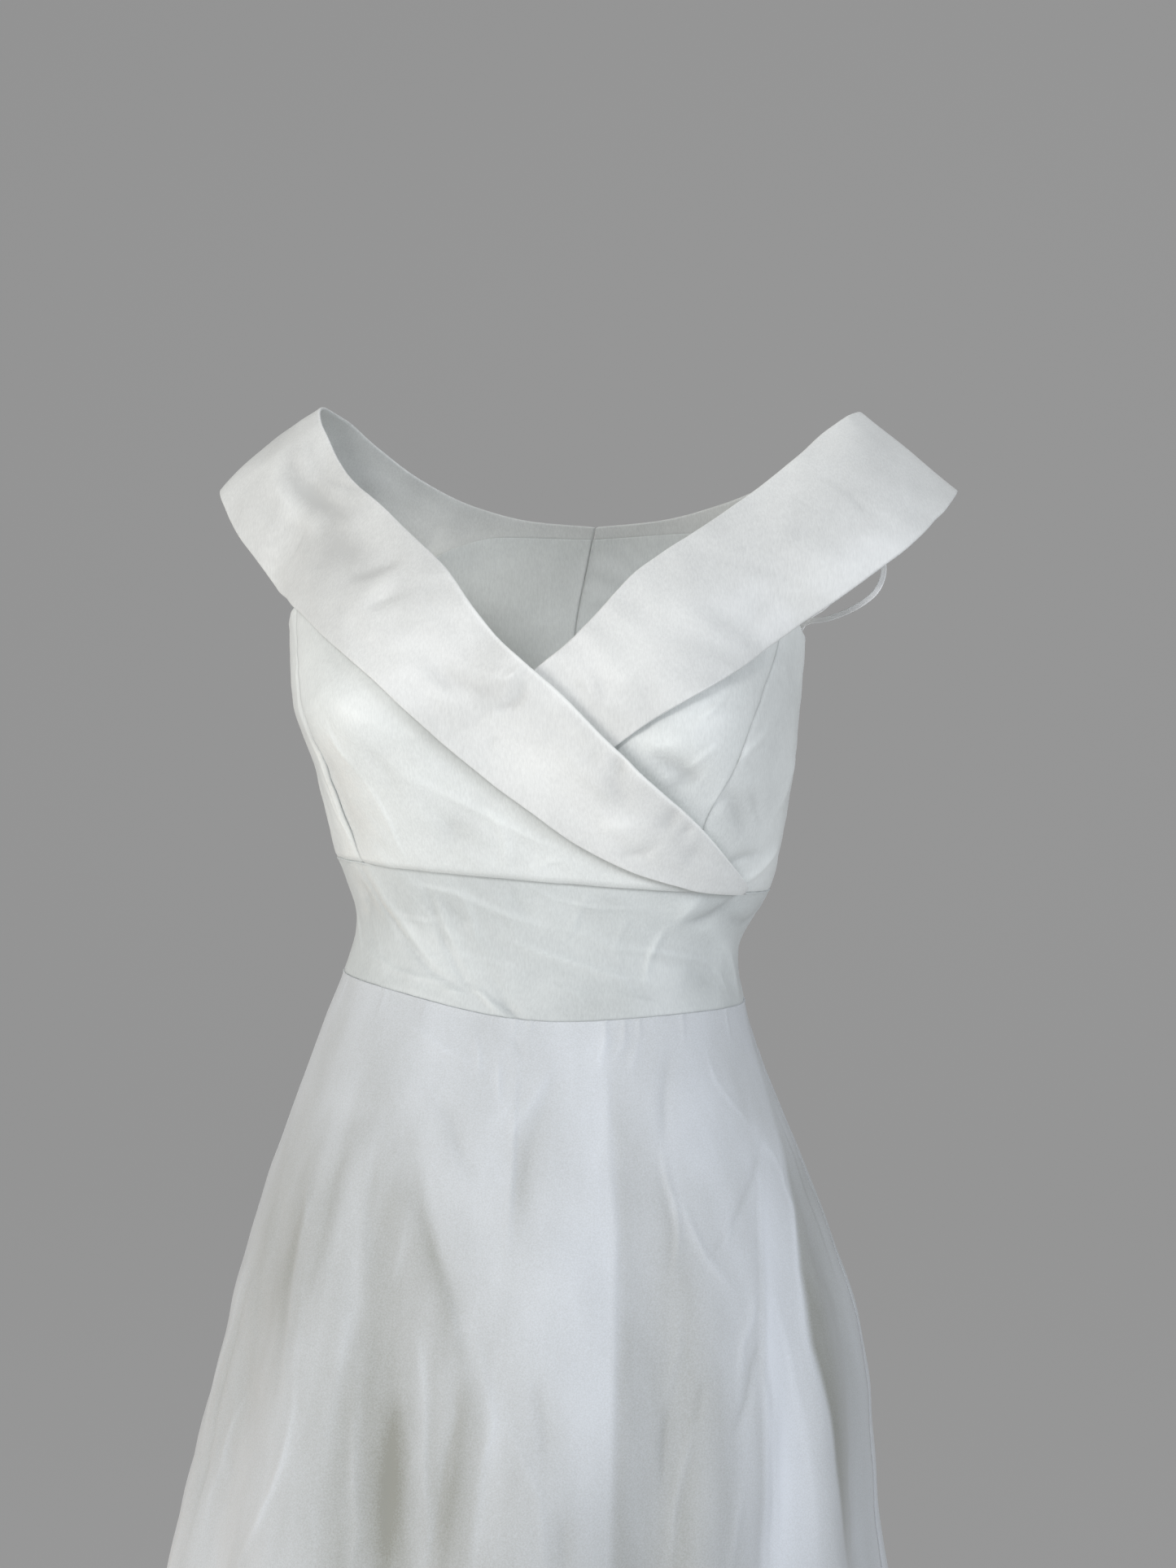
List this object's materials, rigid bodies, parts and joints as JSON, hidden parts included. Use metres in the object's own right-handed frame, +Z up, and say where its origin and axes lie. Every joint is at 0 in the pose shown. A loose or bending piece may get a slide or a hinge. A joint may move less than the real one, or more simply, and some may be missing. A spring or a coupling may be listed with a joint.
{
  "type": "off-shoulder dress",
  "caption": "Off-shoulder A-line dress with a crossed front, deep folded collar, fitted waistband and floor-length skirt, kept hollow in its worn shape.",
  "frame": {"origin": "middle of the waist, where the wearer holds the dress up", "axes": "+Z up along the dress, -Y to its front, +X to the wearer's left"},
  "size_m": [0.7532, 0.7354, 1.3817],
  "materials": {
    "satin": "ivory white satin, soft sheen",
    "collar_satin": "ivory white satin, folded double, soft sheen",
    "band_satin": "ivory white satin, stretched smooth, lightly creased",
    "chiffon": "off-white chiffon over a smooth lining, matt",
    "ribbon": "sheer off-white ribbon with firm edges"
  },
  "bodies": {
    "root": {"bodice_front_over": "satin", "bodice_front_under": "satin", "bodice_side_right": "satin", "bodice_side_left": "satin", "bodice_back_right": "satin", "bodice_back_left": "satin", "collar_over": "collar_satin", "collar_under": "collar_satin", "midriff_front": "band_satin", "midriff_back_right": "band_satin", "midriff_back_left": "band_satin", "skirt_front": "chiffon", "skirt_back_right": "chiffon", "skirt_back_left": "chiffon", "hanger_loop_left": "ribbon"}
  },
  "joints": []
}
